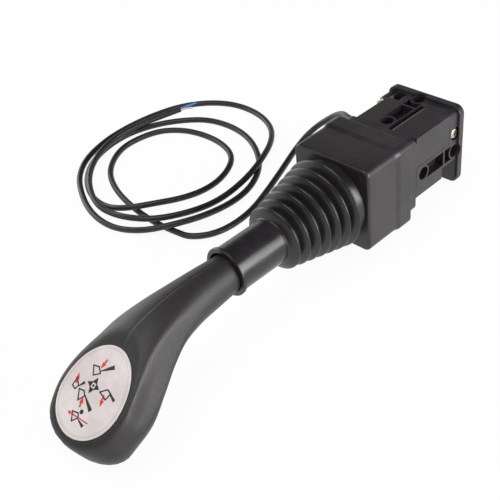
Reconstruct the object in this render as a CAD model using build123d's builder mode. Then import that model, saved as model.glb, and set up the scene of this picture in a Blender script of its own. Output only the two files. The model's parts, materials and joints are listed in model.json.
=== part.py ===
"""Two-axis joystick control: square casing with a rubber boot, a spring-centred lever on a cross joint, two push rods
for cables, and a bent two-shell hand grip with a push button, lying on a table with its cord.

Every piece is modelled in the lever frame: X runs along the resting lever towards the grip, Y to the right, Z up, with
the origin at the centre of the boot's front face. The finished pieces are then laid on the table together.
"""

import math
import os

from build123d import *

# ---- driving dimensions, in millimetres and degrees ----

# casing
case_size = 56.0
case_length = 101.4
front_length = 50.8
case_wall = 3.0
case_corner = 5.0
front_wall = 2.8
lever_opening = 44.0
left_face = 21.3
low_face = 17.6
seam_gap = 0.3

# corner tongue of the front moulding and the tab behind it
tongue_start_y = 4.5
tongue_start_z = 6.0
tongue_end = 88.2
tongue_wall = 5.0
tab_length = 10.5
tab_wall = 2.8
tab_height = 14.0

# mounting bores and the pocket between them
bore_diameter = 9.3
bore_depth = 6.5
bore_first = 60.0
bore_pitch = 34.5
bore_offset = -2.0
bolt_relief = 0.5
boss_wall = 1.3
pocket_width = 10.6
pocket_depth = 6.0
pocket_rib = 1.5

# corner ears, their notches and the case screws
ear_front = 81.0
ear_width = 20.0
plate_size = 59.5
plate_corner = 6.0
plate_edge = 1.0
plate_thickness = 5.2
notch_wall = 4.0
side_notch = 14.4
side_notch_front = 81.0
side_notch_top = -9.6
top_notch = 10.4
top_notch_front = 86.0
top_notch_width = 11.4
top_notch_depth = 14.0
screw_head_diameter = 8.4
screw_head_height = 3.0
screw_shank_diameter = 4.0
screw_length = 14.0
screw_head_recess = 3.4
screw_recess_diameter = 9.6
side_screw_from_front = 94.0
side_screw_height = 11.0

# rubber boot
boot_wall = 2.6
boot_corner = 5.0
boot_bulge = 0.8
bulge_start = 27.0
bulge_ramp = 4.0
skirt_length = 42.6
skirt_front_wall = 1.2
fold_count = 6
last_crest_radius = 21.6
first_crest = 6.0
last_crest = 59.0
fold_depth = 5.2
boot_skin = 1.2

# cross joint
pivot_depth = 20.0
tilt_limit = 20.0
trunnion_diameter = 6.0
running_clearance = 0.05
bush_wall = 1.0
ear_inner = 8.5
ear_thickness = 4.0
ear_radius = 6.0
cross_core = 10.0
bracket_plate = 4.0

# lever hub and its ball studs
hub_disc_radius = 11.0
hub_disc_low = 12.0
hub_disc_thickness = 5.0
arm_radius_clearance = 4.0
arm_inner_clearance = 9.5
arm_thickness = 2.5
arm_half_width = 4.0
arm_below_pivot = 4.5
ball_diameter = 6.0
stud_diameter = 4.0

# push rods
rod_clearance = 8.5
rod_diameter = 4.5
rod_tail_end = 94.0
slot_clearance = 0.7
jaw_thickness = 3.0
jaw_clearance = 0.6
jaw_depth = 4.9
jaw_half_width = 6.5
fork_web = 2.5
fork_foot_top = 14.0
fork_foot = 4.0
guide_wall = 1.25
front_guide_length = 10.0
chamber_diameter = 8.4
chamber_front = 66.0
chamber_rear = 88.0
rear_guide_length = 4.0
collar_diameter = 7.6
collar_thickness = 2.0
spring_radius = 3.1
spring_wire = 1.0
spring_turns = 3.5
spring_end_gap = 0.1

# lever
lever_diameter = 10.0
lever_bore = 4.4
lever_end = 134.0
nut_flats = 16.0
nut_height = 6.0
sleeve_diameter = 30.0
sleeve_bore = 26.8
sleeve_start = 26.0
sleeve_floor = 4.0
sleeve_end = 96.0
sleeve_lip = 1.2
sleeve_lip_length = 2.2
lead_diameter = 3.6

# grip: stations along its bent centre line as (x, z, slope, half width, half thickness)
grip_stations = [
    (80.0, 0.0, 0.0, 12.2, 12.2),
    (95.0, -0.9, -0.8, 12.3, 12.4),
    (112.0, -1.2, -1.2, 13.7, 13.4),
    (129.0, -1.6, -3.5, 15.8, 13.6),
    (145.5, -3.4, -12.5, 19.3, 14.1),
    (160.2, -8.3, -25.7, 24.2, 15.5),
    (174.4, -17.3, -35.2, 28.6, 17.8),
    (189.4, -29.0, -36.5, 31.4, 20.8),
    (206.1, -40.4, -34.0, 28.8, 21.4),
]
grip_dome = 10.4
grip_dome_steps = (28.0, 52.0, 72.0)
grip_wall = 3.0
badge_x = 198.6
badge_z = -17.2
badge_slope = -34.0
badge_length_front = 30.8
badge_length_rear = 23.7
badge_width = 46.8
badge_offset = 3.0
badge_thickness = 1.2
badge_recess = 0.9
facet_x = 178.3
facet_y = 22.4
facet_z = -9.0
facet_yaw = 3.5
facet_pitch = 20.7
insert_diameter = 16.0
insert_start = 102.0
insert_length = 28.0
clamp_rib = 4.0
grip_screw_stations = ((146.0, -3.0), (197.0, -41.0))
grip_screw_diameter = 3.0
grip_screw_head = 6.0
grip_screw_head_height = 2.2
grip_boss_diameter = 8.0

grip_reach = 45.0
grip_screw_seat = 8.0
grip_screw_reach = 13.0
badge_gap = 0.15
badge_rim = 0.7
dish_height = 14.0
dish_slope = 42.0
facet_reach = 40.0

# push button under the grip
button_x = 171.0
button_z = -14.6
button_slope = -32.0
button_diameter = 13.0
button_travel = 2.5
button_proud = 3.5
button_flange = 16.0
button_flange_thickness = 1.5
bezel_diameter = 20.0
bezel_height = 4.6
bezel_low = 13.2
button_clearance = 0.3
button_spring_turns = 2.5
button_spring_radius = 4.6
button_spring_wire = 0.8
switch_size = (12.0, 6.0, 5.0)
terminal_width = 0.8
terminal_length = 2.5
plunger_diameter = 2.4
plunger_proud = 0.8
carrier_place = 6.5
carrier_thickness = 1.5
carrier_length = 12.0
carrier_overlap = 5.0
shelf_gap = 7.0
shelf_thickness = 1.5

# cord
cord_diameter = 4.6
cord_exit_from_front = 70.0
cord_exit_height = 12.0
cord_straight = 14.0
grommet_diameter = 10.0
grommet_length = 9.0
grommet_tip = 6.6
grommet_flange = 2.0
core_diameter = 1.3
core_length = 16.0
core_start = (-52.0, -209.0, 10.8)
core_direction = (-0.8, 0.6, 0.0)
coil_centre = (-2.0, -162.0)
coil_size = (162.0, 144.0)
coil_hole_centre = (5.0, -167.0)
coil_hole_size = (80.0, 88.0)
coil_height = 10.0

# ---- helpers ----

half = case_size / 2
room = half - case_wall
plate_proud = (plate_size - case_size) / 2
case_front = -skirt_front_wall
front_end = case_front - front_length
case_end = case_front - case_length
pivot = -pivot_depth
EPS = 0.01

pieces = {}
cord_pieces = {}


def block(x0, x1, y0, y1, z0, z1, mode=Mode.ADD):
    """A box between two corners, joined to or cut from the open part."""
    with Locations(((x0 + x1) / 2, (y0 + y1) / 2, (z0 + z1) / 2)):
        Box(abs(x1 - x0), abs(y1 - y0), abs(z1 - z0), mode=mode)


def bar_x(x0, x1, diameter, y=0.0, z=0.0, mode=Mode.ADD):
    """A round bar along the lever."""
    with Locations(((x0 + x1) / 2, y, z)):
        Cylinder(diameter / 2, abs(x1 - x0), rotation=(0, 90, 0), mode=mode)


def bar_y(y0, y1, diameter, x=0.0, z=0.0, mode=Mode.ADD):
    """A round bar across the lever, to the right."""
    with Locations((x, (y0 + y1) / 2, z)):
        Cylinder(diameter / 2, abs(y1 - y0), rotation=(90, 0, 0), mode=mode)


def bar_z(z0, z1, diameter, x=0.0, y=0.0, mode=Mode.ADD):
    """An upright round bar."""
    with Locations((x, y, (z0 + z1) / 2)):
        Cylinder(diameter / 2, abs(z1 - z0), mode=mode)


def slope_plane(x, z, slope, offset=0.0):
    """A plane across the bent grip: its normal runs along the grip, its Y is the grip's upper side."""
    angle = math.radians(slope)
    place = Plane(origin=(x, 0, z), x_dir=(0, 1, 0), z_dir=(math.cos(angle), 0, math.sin(angle)))
    return place.offset(offset)


def keep(name, builder, cord=False):
    """Labels a finished piece and files it under its node's name."""
    builder.part.label = name
    (cord_pieces if cord else pieces)[name] = builder.part


def keep_turned(name, builder):
    """Files a piece of the tilt linkage, turned a quarter about the lever, as the sway linkage's piece."""
    with BuildPart() as turned:
        add(builder.part, rotation=(-90, 0, 0))
    keep(name, turned)


# radii of the mechanism, set by the room inside the casing
rod_radius_from_axis = room - rod_clearance
arm_radius = room - arm_radius_clearance
arm_inner = room - arm_inner_clearance
jaw_outer = room - jaw_clearance
jaw_inner = jaw_outer - jaw_depth
first_crest_radius = half + 1.6

# ---- casing ----

tab_y = half - tongue_wall
side_screw_x = case_front - side_screw_from_front
ear_screw_y = -(left_face + half) / 2
ear_screw_z = half - screw_head_diameter / 2 - 1
ear_screw_face = -ear_front - 4
cord_exit_x = -cord_exit_from_front
grommet_seat = grommet_diameter - 2.0
cord_bore_depth = 8.0

with BuildPart() as housing_front:
    with BuildSketch(Plane.YZ.offset(case_front)):
        RectangleRounded(case_size, case_size, case_corner)
    extrude(amount=-front_length)
    with BuildSketch(Plane.YZ.offset(case_front - front_wall)):
        RectangleRounded(case_size - 2 * case_wall, case_size - 2 * case_wall, 2.0)
    extrude(amount=-front_length, mode=Mode.SUBTRACT)
    bar_x(case_front + 1, case_front - front_wall - 1, lever_opening, mode=Mode.SUBTRACT)
    # corner tongue that covers the upper right edge of the rear moulding
    with BuildSketch(Plane.YZ.offset(front_end)):
        with BuildLine():
            Polyline(
                (half, tongue_start_z),
                (half, half),
                (tongue_start_y, half),
                (tongue_start_y, half - tongue_wall),
                (half - tongue_wall, half - tongue_wall),
                (half - tongue_wall, tongue_start_z),
                close=True,
            )
        make_face()
        fillet(vertices().sort_by(Axis((0, 0, 0), (0, 1, 1)))[-1], case_corner)
    extrude(amount=-(tongue_end + front_end))
    # tab behind the tongue, under the rear moulding's ear, where the side screw bites
    block(-tongue_end + 4, -tongue_end - tab_length, tab_y - tab_wall, tab_y, tab_height - 6, tab_height + 6)
    bar_y(tab_y - tab_wall, tab_y, screw_shank_diameter, side_screw_x, side_screw_height, Mode.SUBTRACT)
keep("housing_front", housing_front)

# full square end plate, a little proud of the casing
with BuildPart() as end_plate:
    with BuildSketch(Plane.YZ.offset(case_end)):
        RectangleRounded(plate_size, plate_size, plate_corner)
    extrude(amount=plate_thickness)
    fillet(end_plate.edges().group_by(Axis.X)[0], plate_edge)
    fillet(end_plate.edges().group_by(Axis.X)[-1], plate_edge / 2)

with BuildPart() as housing_rear:
    # block with two recessed sides, its upper right corner cut back for the tongue
    with BuildSketch(Plane.YZ.offset(front_end - seam_gap)):
        with BuildLine():
            Polyline(
                (-left_face, -low_face),
                (half, -low_face),
                (half, tongue_start_z - seam_gap),
                (tab_y - seam_gap, tongue_start_z - seam_gap),
                (tab_y - seam_gap, tab_y - seam_gap),
                (tongue_start_y - seam_gap, tab_y - seam_gap),
                (tongue_start_y - seam_gap, half),
                (-left_face, half),
                close=True,
            )
        make_face()
    extrude(amount=case_end - front_end + seam_gap)
    block(-tongue_end - seam_gap, case_end, tongue_start_y - 1, half, tongue_start_z - 1, half)
    # ears at the lower right and the upper left corner
    block(-ear_front, case_end, half - ear_width, half, -half + 1, -low_face)
    block(-ear_front - 4, case_end, -half, -left_face, half - ear_width, half - 1)
    block(-ear_front - 4, case_end, -half, -left_face, -half + 1, -half + 1 + ear_width / 2)
    block(-ear_front - 4, case_end, -left_face, -left_face + 6, -half + 1, -low_face)
    with BuildSketch(Plane.YZ.offset(case_end)):
        RectangleRounded(case_size, case_size, case_corner)
    extrude(amount=case_length, mode=Mode.INTERSECT)
    add(end_plate.part)
    # notch open to the right and below, and notch open above
    block(
        -side_notch_front, -side_notch_front - side_notch,
        half - ear_width + notch_wall, half + 1, -half - 1, side_notch_top, Mode.SUBTRACT,
    )
    block(
        -top_notch_front, -top_notch_front - top_notch,
        -half + notch_wall, -half + notch_wall + top_notch_width, half - top_notch_depth, half + 1, Mode.SUBTRACT,
    )
    top_face = Plane.XY.offset(half)
    side_face = Plane(origin=(0, half, 0), x_dir=(1, 0, 0), z_dir=(0, 1, 0))
    pocket_middle = -bore_first - bore_pitch / 2
    for face_plane, across in ((top_face, bore_offset), (side_face, -bore_offset)):
        # mounting bores with ring bosses and a ribbed pocket between them
        with BuildSketch(face_plane):
            with Locations((pocket_middle, across)):
                Rectangle(bore_pitch, pocket_width)
            with Locations((-bore_first, across), (-bore_first - bore_pitch, across)):
                Circle(bore_diameter / 2 + boss_wall, mode=Mode.SUBTRACT)
            with Locations((pocket_middle - bore_pitch / 6, across)):
                Rectangle(pocket_rib, pocket_width, mode=Mode.SUBTRACT)
        extrude(amount=-pocket_depth, mode=Mode.SUBTRACT)
        with BuildSketch(face_plane):
            with Locations((-bore_first, across), (-bore_first - bore_pitch, across)):
                Circle(bore_diameter / 2)
        extrude(amount=-bore_depth, mode=Mode.SUBTRACT)
        # the end plate's proud edge makes way for the rear bolt
        with BuildSketch(face_plane):
            with Locations((-bore_first - bore_pitch, across)):
                Circle(bore_diameter / 2 + bolt_relief)
        extrude(amount=2 * plate_proud, mode=Mode.SUBTRACT)
    for y, z in ((0, rod_radius_from_axis), (rod_radius_from_axis, 0)):
        # stepped bore of a push rod: front guide seat, spring chamber open to the rear
        bar_x(front_end + 1, -chamber_rear, rod_diameter + 2 * guide_wall, y, z, Mode.SUBTRACT)
        bar_x(-chamber_front, case_end - 1, chamber_diameter, y, z, Mode.SUBTRACT)
    # space for the front moulding's tab, and the counterbored hole of the side screw
    block(
        -tongue_end + 4 + seam_gap, -tongue_end - tab_length - seam_gap,
        tab_y - tab_wall - seam_gap, tab_y, tab_height - 6 - seam_gap, tab_height + 6 + seam_gap, Mode.SUBTRACT,
    )
    side_screw_tip = half - screw_head_recess - screw_length
    bar_y(side_screw_tip - 1, half + 1, screw_shank_diameter, side_screw_x, side_screw_height, Mode.SUBTRACT)
    bar_y(half - screw_head_recess, half + 1, screw_recess_diameter, side_screw_x, side_screw_height, Mode.SUBTRACT)
    # passage for the cord, and the ear screws' holes
    bar_y(-left_face - 1, -left_face + cord_bore_depth, grommet_seat, cord_exit_x, cord_exit_height, Mode.SUBTRACT)
    for z in (ear_screw_z, -ear_screw_z):
        bar_x(ear_screw_face + 1, ear_screw_face - screw_length, screw_shank_diameter, ear_screw_y, z, Mode.SUBTRACT)
        bar_x(ear_screw_face, ear_screw_face + 6, screw_recess_diameter, ear_screw_y, z, Mode.SUBTRACT)
keep("housing_rear", housing_rear)


def pan_screw():
    """A cross-recess pan head screw pointing down its own -Z, head underside at the origin."""
    with BuildPart() as screw:
        with BuildSketch():
            Circle(screw_head_diameter / 2)
        extrude(amount=screw_head_height)
        fillet(screw.edges().group_by(Axis.Z)[-1], screw_head_height * 0.6)
        with BuildSketch(Plane.XY.offset(screw_head_height)):
            Rectangle(screw_head_diameter * 0.5, 1.0)
            Rectangle(1.0, screw_head_diameter * 0.5)
        extrude(amount=-screw_head_height * 0.55, mode=Mode.SUBTRACT)
        with BuildSketch():
            Circle(screw_shank_diameter / 2)
        extrude(amount=-screw_length)
    return screw.part


case_screw = pan_screw()
with BuildPart() as case_screws:
    with Locations(Location((side_screw_x, half - screw_head_recess, side_screw_height), (-90, 0, 0))):
        add(case_screw)
    for z in (ear_screw_z, -ear_screw_z):
        with Locations(Location((ear_screw_face, ear_screw_y, z), (0, 90, 0))):
            add(case_screw)
keep("case_screws", case_screws)

# ---- rubber boot ----

boot_size = case_size + 2 * boot_wall
bulge_size = boot_size + 2 * boot_bulge
with BuildPart() as boot_skirt:
    with BuildSketch(Plane.YZ):
        RectangleRounded(boot_size, boot_size, boot_corner)
    extrude(amount=-bulge_start)
    fillet(boot_skirt.edges().group_by(Axis.X)[-1], boot_wall * 0.7)
    # the rubber swells where it is stretched over the casing's step
    with BuildSketch(Plane.YZ.offset(-bulge_start)):
        RectangleRounded(boot_size, boot_size, boot_corner)
    with BuildSketch(Plane.YZ.offset(-bulge_start - bulge_ramp)):
        RectangleRounded(bulge_size, bulge_size, boot_corner)
    loft()
    with BuildSketch(Plane.YZ.offset(-bulge_start - bulge_ramp)):
        RectangleRounded(bulge_size, bulge_size, boot_corner)
    extrude(amount=-(skirt_length - bulge_start - bulge_ramp))
    fillet(boot_skirt.edges().group_by(Axis.X)[0], boot_wall * 0.3)
    with BuildSketch(Plane.YZ.offset(case_front)):
        RectangleRounded(case_size, case_size, case_corner)
    extrude(amount=-skirt_length, mode=Mode.SUBTRACT)
    bar_x(1, case_front - 1, 2 * (first_crest_radius - fold_depth), mode=Mode.SUBTRACT)
keep("boot_skirt", boot_skirt)

crest_step = (last_crest - first_crest) / (fold_count - 1)


def fold_radius(x):
    """Radius of the bellows' crests at a place along the lever."""
    share = (x - first_crest) / (last_crest - first_crest)
    return first_crest_radius + share * (last_crest_radius - first_crest_radius)


bellows_outer = []
for n in range(fold_count):
    crest_x = first_crest + n * crest_step
    bellows_outer.append((crest_x - crest_step / 2, fold_radius(crest_x - crest_step / 2) - fold_depth))
    bellows_outer.append((crest_x - 0.6, fold_radius(crest_x)))
    bellows_outer.append((crest_x + 0.6, fold_radius(crest_x)))
bellows_start = (0.2, bellows_outer[0][1])
bellows_outer[0] = bellows_start
bellows_inner = [(x, r - boot_skin * 1.6) for x, r in reversed(bellows_outer)]
neck_radius = sleeve_diameter / 2 + 0.3
neck_end = last_crest + 1.0
with BuildPart() as boot_bellows:
    with BuildSketch(Plane.XY):
        with BuildLine():
            Polyline(
                *bellows_outer,
                (last_crest - 1.5, last_crest_radius - 2.5),
                (neck_end - 3.0, neck_radius + 1.6),
                (neck_end, neck_radius + 1.4),
                (neck_end, neck_radius),
                (neck_end - 8.0, neck_radius),
                *bellows_inner[1:],
                close=True,
            )
        make_face()
    revolve(axis=Axis.X)
keep("boot_bellows", boot_bellows)

# ---- cross joint ----

ear_outer = ear_inner + ear_thickness
bush_bore = trunnion_diameter + 2 * running_clearance
bush_diameter = bush_bore + 2 * bush_wall
plate_face = front_end + bracket_plate

with BuildPart() as pivot_bracket:
    with BuildSketch(Plane.YZ.offset(front_end)):
        bracket_side = case_size - 2 * case_wall - 0.4
        RectangleRounded(bracket_side, bracket_side, 2.0)
        with Locations((0, rod_radius_from_axis), (rod_radius_from_axis, 0)):
            Circle(rod_diameter / 2 + 1.0, mode=Mode.SUBTRACT)
        Circle(ear_inner - 2, mode=Mode.SUBTRACT)
    extrude(amount=bracket_plate)
    for side in (1, -1):
        block(plate_face - 1, pivot, side * ear_inner, side * ear_outer, -ear_radius, ear_radius)
        bar_y(side * ear_inner, side * ear_outer, 2 * ear_radius, pivot)
        bar_y(side * ear_inner, side * ear_outer, bush_diameter, pivot, 0, Mode.SUBTRACT)
keep("pivot_bracket", pivot_bracket)

with BuildPart() as cross_piece:
    with BuildSketch(Plane.YZ.offset(pivot - cross_core / 2)):
        RectangleRounded(cross_core, cross_core, 1.5)
    extrude(amount=cross_core)
    bar_y(-ear_outer, ear_outer, trunnion_diameter, pivot)
    bar_z(-ear_outer, ear_outer, trunnion_diameter, pivot)
    bar_x(pivot - cross_core, pivot + cross_core, 3.0, mode=Mode.SUBTRACT)
keep("cross_piece", cross_piece)

with BuildPart() as bracket_bushes:
    for side in (1, -1):
        bar_y(side * ear_inner, side * ear_outer, bush_diameter, pivot)
    bar_y(-ear_outer - 1, ear_outer + 1, bush_bore, pivot, 0, Mode.SUBTRACT)
keep("bracket_bushes", bracket_bushes)

with BuildPart() as hub_bushes:
    for side in (1, -1):
        bar_z(side * ear_inner, side * ear_outer, bush_diameter, pivot)
    bar_z(-ear_outer - 1, ear_outer + 1, bush_bore, pivot, 0, Mode.SUBTRACT)
keep("hub_bushes", hub_bushes)

# ---- lever hub with its two arms ----

disc_low = pivot + hub_disc_low
disc_top = disc_low + hub_disc_thickness
arm_outer = arm_inner + arm_thickness

with BuildPart() as lever_hub:
    bar_x(disc_low, disc_top, 2 * hub_disc_radius)
    for side in (1, -1):
        block(pivot, disc_low + 1, -ear_radius, ear_radius, side * ear_inner, side * ear_outer)
        bar_z(side * ear_inner, side * ear_outer, 2 * ear_radius, pivot)
        bar_z(side * ear_inner, side * ear_outer, bush_diameter, pivot, 0, Mode.SUBTRACT)
    block(disc_low + 1, disc_top, 0, arm_outer, -arm_half_width, arm_half_width)
    block(pivot - arm_below_pivot, disc_top, arm_inner, arm_outer, -arm_half_width, arm_half_width)
    arm_end = lever_hub.edges().filter_by(Axis.Y).group_by(Axis.X)[0]
    fillet(arm_end, arm_half_width - 0.5)
    bar_x(disc_low - 1, disc_top + 1, lever_diameter, mode=Mode.SUBTRACT)
    bar_y(arm_inner - 1, arm_outer + 1, stud_diameter, pivot, 0, Mode.SUBTRACT)
keep("lever_hub", lever_hub)

with BuildPart() as ball_studs:
    bar_z(ear_outer, arm_radius, stud_diameter, pivot)
    bar_z(ear_outer, ear_outer + 1.2, bush_diameter + 2, pivot)
    bar_y(arm_inner, arm_radius, stud_diameter, pivot)
    bar_y(arm_outer, arm_outer + 0.8, stud_diameter + 2, pivot)
    with Locations((pivot, 0, arm_radius), (pivot, arm_radius, 0)):
        Sphere(ball_diameter / 2)
keep("ball_studs", ball_studs)

# ---- push rods, made for the tilt linkage above the lever and turned a quarter for the sway linkage ----

jaw_gap = ball_diameter / 2 + slot_clearance
fork_low = pivot - fork_foot_top - fork_foot
rod_z_place = rod_radius_from_axis
collar_middle = -(chamber_front + chamber_rear) / 2

with BuildPart() as tilt_fork:
    for side in (1, -1):
        block(
            pivot + side * jaw_gap, pivot + side * (jaw_gap + jaw_thickness),
            -jaw_half_width, jaw_half_width + fork_web, jaw_inner, jaw_outer,
        )
    block(
        fork_low, pivot + jaw_gap + jaw_thickness,
        jaw_half_width, jaw_half_width + fork_web, jaw_inner, jaw_outer,
    )
    foot_inner = rod_z_place - rod_diameter / 2 - 1.0
    block(
        fork_low, fork_low + fork_foot,
        -rod_diameter / 2 - 1.5, jaw_half_width + fork_web, foot_inner, jaw_outer,
    )
    bar_x(fork_low - 1, fork_low + fork_foot + 1, rod_diameter, 0, rod_z_place, Mode.SUBTRACT)
keep("tilt_fork", tilt_fork)
keep_turned("sway_fork", tilt_fork)

with BuildPart() as tilt_rod:
    bar_x(fork_low + fork_foot, -rod_tail_end, rod_diameter, 0, rod_z_place)
    chamfer(tilt_rod.edges().group_by(Axis.X)[0], 0.5)
keep("tilt_rod", tilt_rod)
keep_turned("sway_rod", tilt_rod)

with BuildPart() as tilt_collar:
    collar_half = collar_thickness / 2
    bar_x(collar_middle - collar_half, collar_middle + collar_half, collar_diameter, 0, rod_z_place)
    bar_x(collar_middle - collar_half, collar_middle + collar_half, rod_diameter, 0, rod_z_place, Mode.SUBTRACT)
keep("tilt_collar", tilt_collar)
keep_turned("sway_collar", tilt_collar)

guide_bore = rod_diameter + 2 * running_clearance
with BuildPart() as tilt_guides:
    guide_places = (
        (front_end - seam_gap, front_end - front_guide_length, rod_diameter + 2 * guide_wall),
        (-chamber_rear, -chamber_rear - rear_guide_length, chamber_diameter),
    )
    for x0, x1, diameter in guide_places:
        bar_x(x0, x1, diameter, 0, rod_z_place)
    bar_x(front_end + 1, case_end, guide_bore, 0, rod_z_place, Mode.SUBTRACT)
keep("tilt_guides", tilt_guides)
keep_turned("sway_guides", tilt_guides)


def coil_spring(length, radius, wire, turns):
    """A compression spring standing on the origin, pointing up."""
    rise = length - wire
    with BuildPart() as spring:
        with BuildLine() as coil:
            Helix(pitch=rise / turns, height=rise, radius=radius, center=(0, 0, wire / 2))
        with BuildSketch(Plane(coil.line @ 0, z_dir=coil.line % 0)):
            RegularPolygon(wire / 2, 6)
        sweep(path=coil.line, is_frenet=True)
    return spring.part


spring_room = chamber_rear + collar_middle - collar_half - 2 * spring_end_gap
rod_spring = coil_spring(spring_room, spring_radius, spring_wire, spring_turns)
with BuildPart() as tilt_springs:
    for x in (-chamber_rear + spring_end_gap, collar_middle + collar_half + spring_end_gap):
        with Locations(Location((x, 0, rod_z_place), (0, 90, 0))):
            add(rod_spring)
keep("tilt_springs", tilt_springs)
keep_turned("sway_springs", tilt_springs)

# ---- lever ----

lever_low = disc_low
nut_low = disc_top
lead_low = lever_low + 1.0

with BuildPart() as lever_rod:
    bar_x(lever_low, lever_end, lever_diameter)
    chamfer(lever_rod.edges().group_by(Axis.X)[-1], 0.8)
    bar_x(lever_low - 1, lever_end + 1, lever_bore, mode=Mode.SUBTRACT)
keep("lever_rod", lever_rod)

with BuildPart() as lock_nut:
    with BuildSketch(Plane.YZ.offset(nut_low)):
        RegularPolygon(nut_flats / 2, 6, major_radius=False)
        Circle(lever_diameter / 2, mode=Mode.SUBTRACT)
    extrude(amount=nut_height)
keep("lock_nut", lock_nut)

with BuildPart() as lever_sleeve:
    bar_x(sleeve_start, sleeve_end, sleeve_diameter)
    bar_x(sleeve_end - sleeve_lip_length, sleeve_end, sleeve_diameter + 2 * sleeve_lip)
    fillet(lever_sleeve.edges().filter_by(GeomType.CIRCLE).group_by(Axis.X)[-1], 0.8)
    bar_x(sleeve_start + sleeve_floor, sleeve_end + 1, sleeve_bore, mode=Mode.SUBTRACT)
    bar_x(sleeve_start - 1, sleeve_end, lever_diameter, mode=Mode.SUBTRACT)
keep("lever_sleeve", lever_sleeve)

with BuildPart() as sleeve_nut:
    with BuildSketch(Plane.YZ.offset(sleeve_start + sleeve_floor)):
        RegularPolygon(nut_flats / 2, 6, major_radius=False)
        Circle(lever_diameter / 2, mode=Mode.SUBTRACT)
    extrude(amount=nut_height)
keep("sleeve_nut", sleeve_nut)

# ---- hand grip ----


def grip_body(wall, first):
    """The bent grip as one solid, shrunk by a wall, from its first station to its domed tip."""
    with BuildPart() as body:
        for x, z, slope, wide, thick in grip_stations[first:]:
            with BuildSketch(slope_plane(x, z, slope)):
                Ellipse(wide - wall, thick - wall)
        x, z, slope, wide, thick = grip_stations[-1]
        dome = grip_dome - wall
        for step in grip_dome_steps:
            share = math.cos(math.radians(step))
            rise = dome * math.sin(math.radians(step))
            with BuildSketch(slope_plane(x, z, slope, rise)):
                Ellipse((wide - wall) * share, (thick - wall) * share)
        tip = slope_plane(x, z, slope, dome).origin
        loft(sections=[*body.pending_faces, Vertex(*tip)])
    return body.part


def facet_plane(side):
    """The flat worn into one side of the grip for the fingers; its normal points out of the grip."""
    yaw = math.radians(facet_yaw)
    pitch = math.radians(facet_pitch)
    out = (-math.sin(yaw) * math.cos(pitch), side * math.cos(yaw) * math.cos(pitch), math.sin(pitch))
    return Plane(origin=(facet_x, side * facet_y, facet_z), z_dir=out)


badge_angle = math.radians(badge_slope)
badge_normal = (-math.sin(badge_angle), 0, math.cos(badge_angle))
badge_plane = Plane(
    origin=(badge_x, 0, badge_z),
    x_dir=(math.cos(badge_angle), 0, math.sin(badge_angle)),
    z_dir=badge_normal,
)


def badge_outline(grow):
    """The egg-shaped outline of the symbol plate, its narrow end towards the lever."""
    width = badge_width / 2 + grow
    with BuildSketch() as outline:
        with BuildLine():
            EllipticalCenterArc((badge_offset, 0), badge_length_front + grow, width, 90, arc_size=180)
            EllipticalCenterArc((badge_offset, 0), badge_length_rear + grow, width, 270, arc_size=180)
        make_face()
    return outline.sketch


def grip_form(wall, first):
    """The grip's outer form, or its hollow when a wall is given, with its flats."""
    with BuildPart() as form:
        add(grip_body(wall, first))
        for side in (1, -1):
            with BuildSketch(facet_plane(side).offset(-wall)):
                Ellipse(facet_reach + wall, badge_width)
            extrude(amount=badge_width, mode=Mode.SUBTRACT)
        if wall:
            # the hollow stays a wall's thickness under the symbol plate
            with BuildSketch(badge_plane.offset(-wall)):
                Circle(3 * badge_width)
            extrude(amount=badge_width, mode=Mode.SUBTRACT)
    return form.part


button_across = slope_plane(button_x, button_z, button_slope)
button_out = Plane(origin=button_across.origin, x_dir=(0, 1, 0), z_dir=-button_across.y_dir)
insert_end = insert_start + insert_length
grip_hollow = grip_form(grip_wall, 1)

with BuildPart() as grip_ribs:
    # clamping ribs round the insert, shelf under the switch carrier, and screw bosses
    for x in (insert_start, insert_end - clamp_rib):
        block(x, x + clamp_rib, -grip_reach, grip_reach, -grip_reach, grip_reach)
    with BuildSketch(button_out.offset(carrier_place - shelf_thickness)):
        with Locations((grip_reach + shelf_gap, 0), (-grip_reach - shelf_gap, 0)):
            Rectangle(2 * grip_reach, carrier_length)
    extrude(amount=shelf_thickness)
    for x, z in grip_screw_stations:
        bar_y(-grip_reach, grip_reach, grip_boss_diameter, x, z)
    add(grip_hollow, mode=Mode.INTERSECT)

with BuildPart() as grip_shells:
    add(grip_form(0.0, 0))
    add(grip_hollow, mode=Mode.SUBTRACT)
    add(grip_ribs.part)
    bar_x(grip_stations[0][0] - 1, insert_end, insert_diameter, mode=Mode.SUBTRACT)
    bar_x(insert_end - 1, lever_end + 1, lever_diameter + 2, mode=Mode.SUBTRACT)
    # dish in the grip's back that lays the symbol plate's seat bare, and the seat itself
    with BuildSketch(badge_plane):
        add(badge_outline(badge_rim))
    with BuildSketch(badge_plane.offset(dish_height)):
        add(badge_outline(badge_rim + dish_height * math.tan(math.radians(dish_slope))))
    loft(ruled=True, mode=Mode.SUBTRACT)
    with BuildSketch(badge_plane):
        add(badge_outline(badge_gap))
    extrude(amount=-badge_recess, mode=Mode.SUBTRACT)
    with BuildSketch(button_out.offset(bezel_low)):
        Circle(bezel_diameter / 2)
    extrude(amount=grip_reach, mode=Mode.SUBTRACT)
    for x, z in grip_screw_stations:
        bar_y(-grip_reach, grip_screw_reach, grip_screw_diameter, x, z, Mode.SUBTRACT)
        bar_y(-grip_reach, -grip_screw_seat, grip_screw_head + 0.6, x, z, Mode.SUBTRACT)

for name, y0, y1 in (("grip_right_half", 0, grip_reach), ("grip_left_half", -grip_reach, 0)):
    with BuildPart() as grip_half:
        add(grip_shells.part)
        block(0, case_size * 5, y0, y1, -case_size * 2, case_size * 2, Mode.INTERSECT)
    keep(name, grip_half)

with BuildPart() as grip_insert:
    bar_x(insert_start, insert_end, insert_diameter)
    bar_x(insert_start, insert_end, lever_diameter, mode=Mode.SUBTRACT)
keep("grip_insert", grip_insert)

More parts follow.
